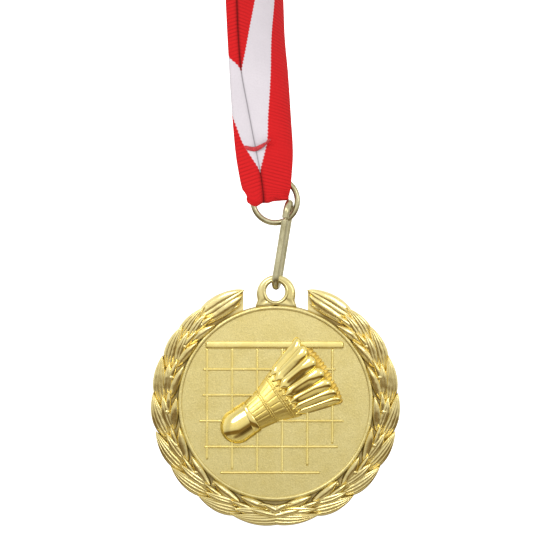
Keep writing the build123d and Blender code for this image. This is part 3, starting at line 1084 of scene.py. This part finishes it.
def strand(side):
    """Rows of (point, u, v) from the sharp tip behind the ring, through the ring, up to the top of the loop."""
    columns, rows = ribbon_columns, []
    full_half = fold_half + fold_extra[side]
    # tip behind the ring, up to the tack
    for r in range(15):
        behind = tip_length * (1 - r / 15)
        half = full_half * (1 - behind / tip_length) ** 0.9
        up = fold_line + behind
        depth = 2.0 if behind < 8 else 2.0 - 3.3 * ease(behind, 8, 15.2)
        depth *= ease(behind, -1.5, 2.0)
        row = []
        for c in range(columns + 1):
            t = c / columns
            x = fold_middle + side * half * t
            place = local(x, depth - 0.25 * t * t, up + 0.1 * (x - fold_middle))
            row.append((place, t, tip_length - behind, half * t))
        rows.append(row)
    # fold under the ring: a half turn from the back leg to the front leg
    turn_rows = 8
    for r in range(turn_rows):
        lean = pi * r / turn_rows
        half = fold_half + (fold_extra[1] if side > 0 else 0.5 * r / turn_rows + fold_extra[-1])
        drop = 1.15 * sin(lean)
        depth = -0.05 + 1.95 * cos(lean)
        row = []
        for c in range(columns + 1):
            t = c / columns
            x = fold_middle + side * half * t
            tilt = along(fold_bottom, x) - fold_mean
            tilt += (0.1 * (x - fold_middle) - tilt) * (1 - ease(r / turn_rows, 0.0, 0.5))
            place = local(x, depth - 0.1 * t, fold_line + fold_drop - drop + tilt)
            row.append((place, t, tip_length + 0.3 * r, half * t))
        rows.append(row)
    # front
    count = 76
    for r in range(count + 1):
        z = fold_line + fold_drop + (crotch - fold_line - fold_drop) * r / count
        flat_half = (z - fold_line + tip_length) * tan(strand_turn)
        seam = along(seam_line, z)
        blend = 1 - ease(z, fold_line + fold_drop, fold_line + 4)
        visible = (seam - along(left_line, z + 0.8 * blend)) if side < 0 else (along(right_line, z) - seam)
        total = max(flat_half, visible * 0.985)
        total = total * (1 - blend) + blend * full_half
        depth = along(seam_depth, z)
        if side < 0:
            bend = (-8 * ease(z, 53, 66), visible - 0.9, visible + 1.1)
        else:
            bend = (along(bend_slant, z), along(bend_first, z), along(bend_last, z))
        shape = section(total, *bend)
        fit = visible / max(x for x, _ in shape)
        row = []
        for c, (x, y) in enumerate(shape):
            t, x = c / columns, side * x * fit
            crease = 0.3 * exp(-((t * total / 0.6) ** 2))
            gather = 0.35 * exp(-(((z - 67.3) / 1.6) ** 2)) * (1 if t * total < 5 else 0.4)
            tilt = (along(fold_bottom, seam + x) - fold_mean) * blend
            place = local(seam + x, depth + y + crease + gather, z + tilt)
            row.append((place, t, z - fold_line + tip_length, t * total))
        rows.append(row)
    bottom = []
    for row in rows:
        for point, t, v, away in row:
            u = (1 - t) * max(0.0, v) * sin(strand_turn)
            # the tack pulls the white stripe wider, and the left strand's bend turns the stripe across it
            z = v + fold_line - tip_length
            pulled = 0.35 if side > 0 else 0.9
            pulled = pulled * exp(-(((z - tack_level) / 4.5) ** 2)) * exp(-(((u - 6.6) / 3) ** 2))
            if side < 0:
                pulled += 0.95 * away * exp(-((away / 4.5) ** 2)) * ease(z, 85, 91)
            down = v * cos(strand_turn) + t * v * tan(strand_turn) * sin(strand_turn)
            bottom.append((point, u + pulled, down, away))
    made = [bottom[i * (columns + 1):(i + 1) * (columns + 1)] for i in range(len(rows))]
    # above the V the strand turns flat to the side and goes over the top
    start_v = (crotch - fold_line + tip_length) * cos(strand_turn)
    straight, top_rows = loop_middle.z - crotch, 26
    length = straight + loop_radius * pi / 2
    edge_x = along(left_line if side < 0 else right_line, crotch)
    for r in range(1, top_rows + 1):
        way = length * r / top_rows
        turn_share = ease(way, 0.0, straight + 6)
        front_depth = along(seam_depth, crotch) * (1 - turn_share) + loop_front * turn_share
        if way <= straight:
            loop_edge = loop_middle.x + side * loop_radius
            base = Vector((edge_x + (loop_edge - edge_x) * ease(way, 0, straight), crotch + way))
            out = Vector((side, 0.0))
        else:
            lean = (way - straight) / loop_radius
            out = Vector((side * cos(lean), sin(lean)))
            base = Vector((loop_middle.x, loop_middle.z)) + out * loop_radius
        total = ribbon_width + 1.07 * (1 - ease(way, 0, 5))
        shape = section(total, *bend, lean=turn_share)
        front = fit * max(x for x, _ in shape)
        row = []
        for c, (x, y) in enumerate(shape):
            t = c / columns
            place = base - out * (front - x * fit)
            crease = 0.3 * exp(-((t * total / 0.6) ** 2)) * (1 - turn_share)
            slanted = t * ribbon_width * tan(strand_turn) * (1 - ease(way, 0, 8))
            row.append((
                local(place.x, front_depth + y + crease, place.y),
                (1 - t) * ribbon_width, start_v + way + slanted, t * total + 0.5 * way,
            ))
        made.append(row)
    return made


def ribbon():
    mesh = bpy.data.meshes.new("neck_ribbon_cloth")
    points, faces, flat, seam_way = [], [], [], []
    for side in (-1, 1):
        rows = strand(side)
        start, width = len(points), len(rows[0])
        for row in rows:
            for point, u, v, away in row:
                points.append(point)
                flat.append((u / ribbon_width, v / ribbon_width))
                seam_way.append(away)
        for r in range(len(rows) - 1):
            for c in range(width - 1):
                corner = start + r * width + c
                face = (corner, corner + 1, corner + width + 1, corner + width)
                faces.append(face if side > 0 else face[::-1])
    mesh.from_pydata(points, [], faces)
    mesh.attributes.new("seam", "FLOAT", "POINT").data.foreach_set("value", seam_way)
    layer = mesh.uv_layers.new(name="flat")
    for polygon in mesh.polygons:
        for loop, vertex in zip(polygon.loop_indices, polygon.vertices):
            layer.data[loop].uv = flat[vertex]
    piece = piece_from(mesh, ribbon_cloth, weld=0.02, outward=False)
    solid = piece.modifiers.new("thickness", "SOLIDIFY")
    solid.thickness = cloth_thick * mm
    solid.offset = 0.0
    return piece


def apply_modifiers(piece):
    graph = bpy.context.evaluated_depsgraph_get()
    done = bpy.data.meshes.new_from_object(piece.evaluated_get(graph), depsgraph=graph)
    piece.modifiers.clear()
    piece.data = done


neck_ribbon = ribbon()
apply_modifiers(neck_ribbon)
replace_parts(neck_ribbon, "ribbon_hanging_loop", "ribbon_strand_left", "ribbon_strand_right", "ribbon_tip")
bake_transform(neck_ribbon)


def thread(form, path, radius):
    """Thread along a path in metres, thin at its ends."""
    rows = []
    for point, across, other, thin in frames(path, (0.5, 0.85, 1.0)):
        rows.append([
            (point + (across * cos(turn) + other * sin(turn)) * radius * mm * thin, 0.8) for turn in circle(8)
        ])
    form.rod(rows)


# stitches of the mitre seam, on its back between the strands
stitches = Form()
z = 53.6
while z < 108.5:
    path = []
    for i in range(9):
        at = z + 1.15 * i / 8
        path.append(local(along(seam_line, at), along(seam_depth, at) + 0.72 + 0.14 * sin(pi * i / 8), at))
    if not 66.2 < z < 68.6:
        thread(stitches, path, 0.13)
    z += 1.75
seam_stitches = stitches.make("mitre_seam_stitches", thread_material, "thread", None)
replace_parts(seam_stitches, "mitre_seam_thread")
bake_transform(seam_stitches)

# bar tack: close zigzag stitches across the fold, slack in the middle
tack_rise = [(-8.3, 66.6), (-7.8, 66.3), (-6.4, 65.95), (-5.0, 65.95), (-3.0, 67.0), (-1.4, 68.3)]
tack_depth = [(-8.3, -2.4), (-6.8, -2.65), (-5.2, -2.55), (-3.0, -3.0), (-1.4, -3.4)]
tack, path = Form(), []
for i in range(181):
    x = -8.3 + 6.9 * i / 180
    swing = 0.42 * (1 - 0.75 * ease(x, -4.2, -1.6)) * (1 - 0.5 * ease(-x, 7.4, 8.3)) * (1 if (i // 3) % 2 else -1)
    path.append(local(x - 0.3 * swing, along(tack_depth, x) - 0.08 * cos(i * pi / 3), along(tack_rise, x) + swing))
thread(tack, path, 0.2)
tack_stitches = tack.make("bar_tack_stitches", thread_material, "thread", "folded_tip")
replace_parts(tack_stitches, "bar_tack_thread")
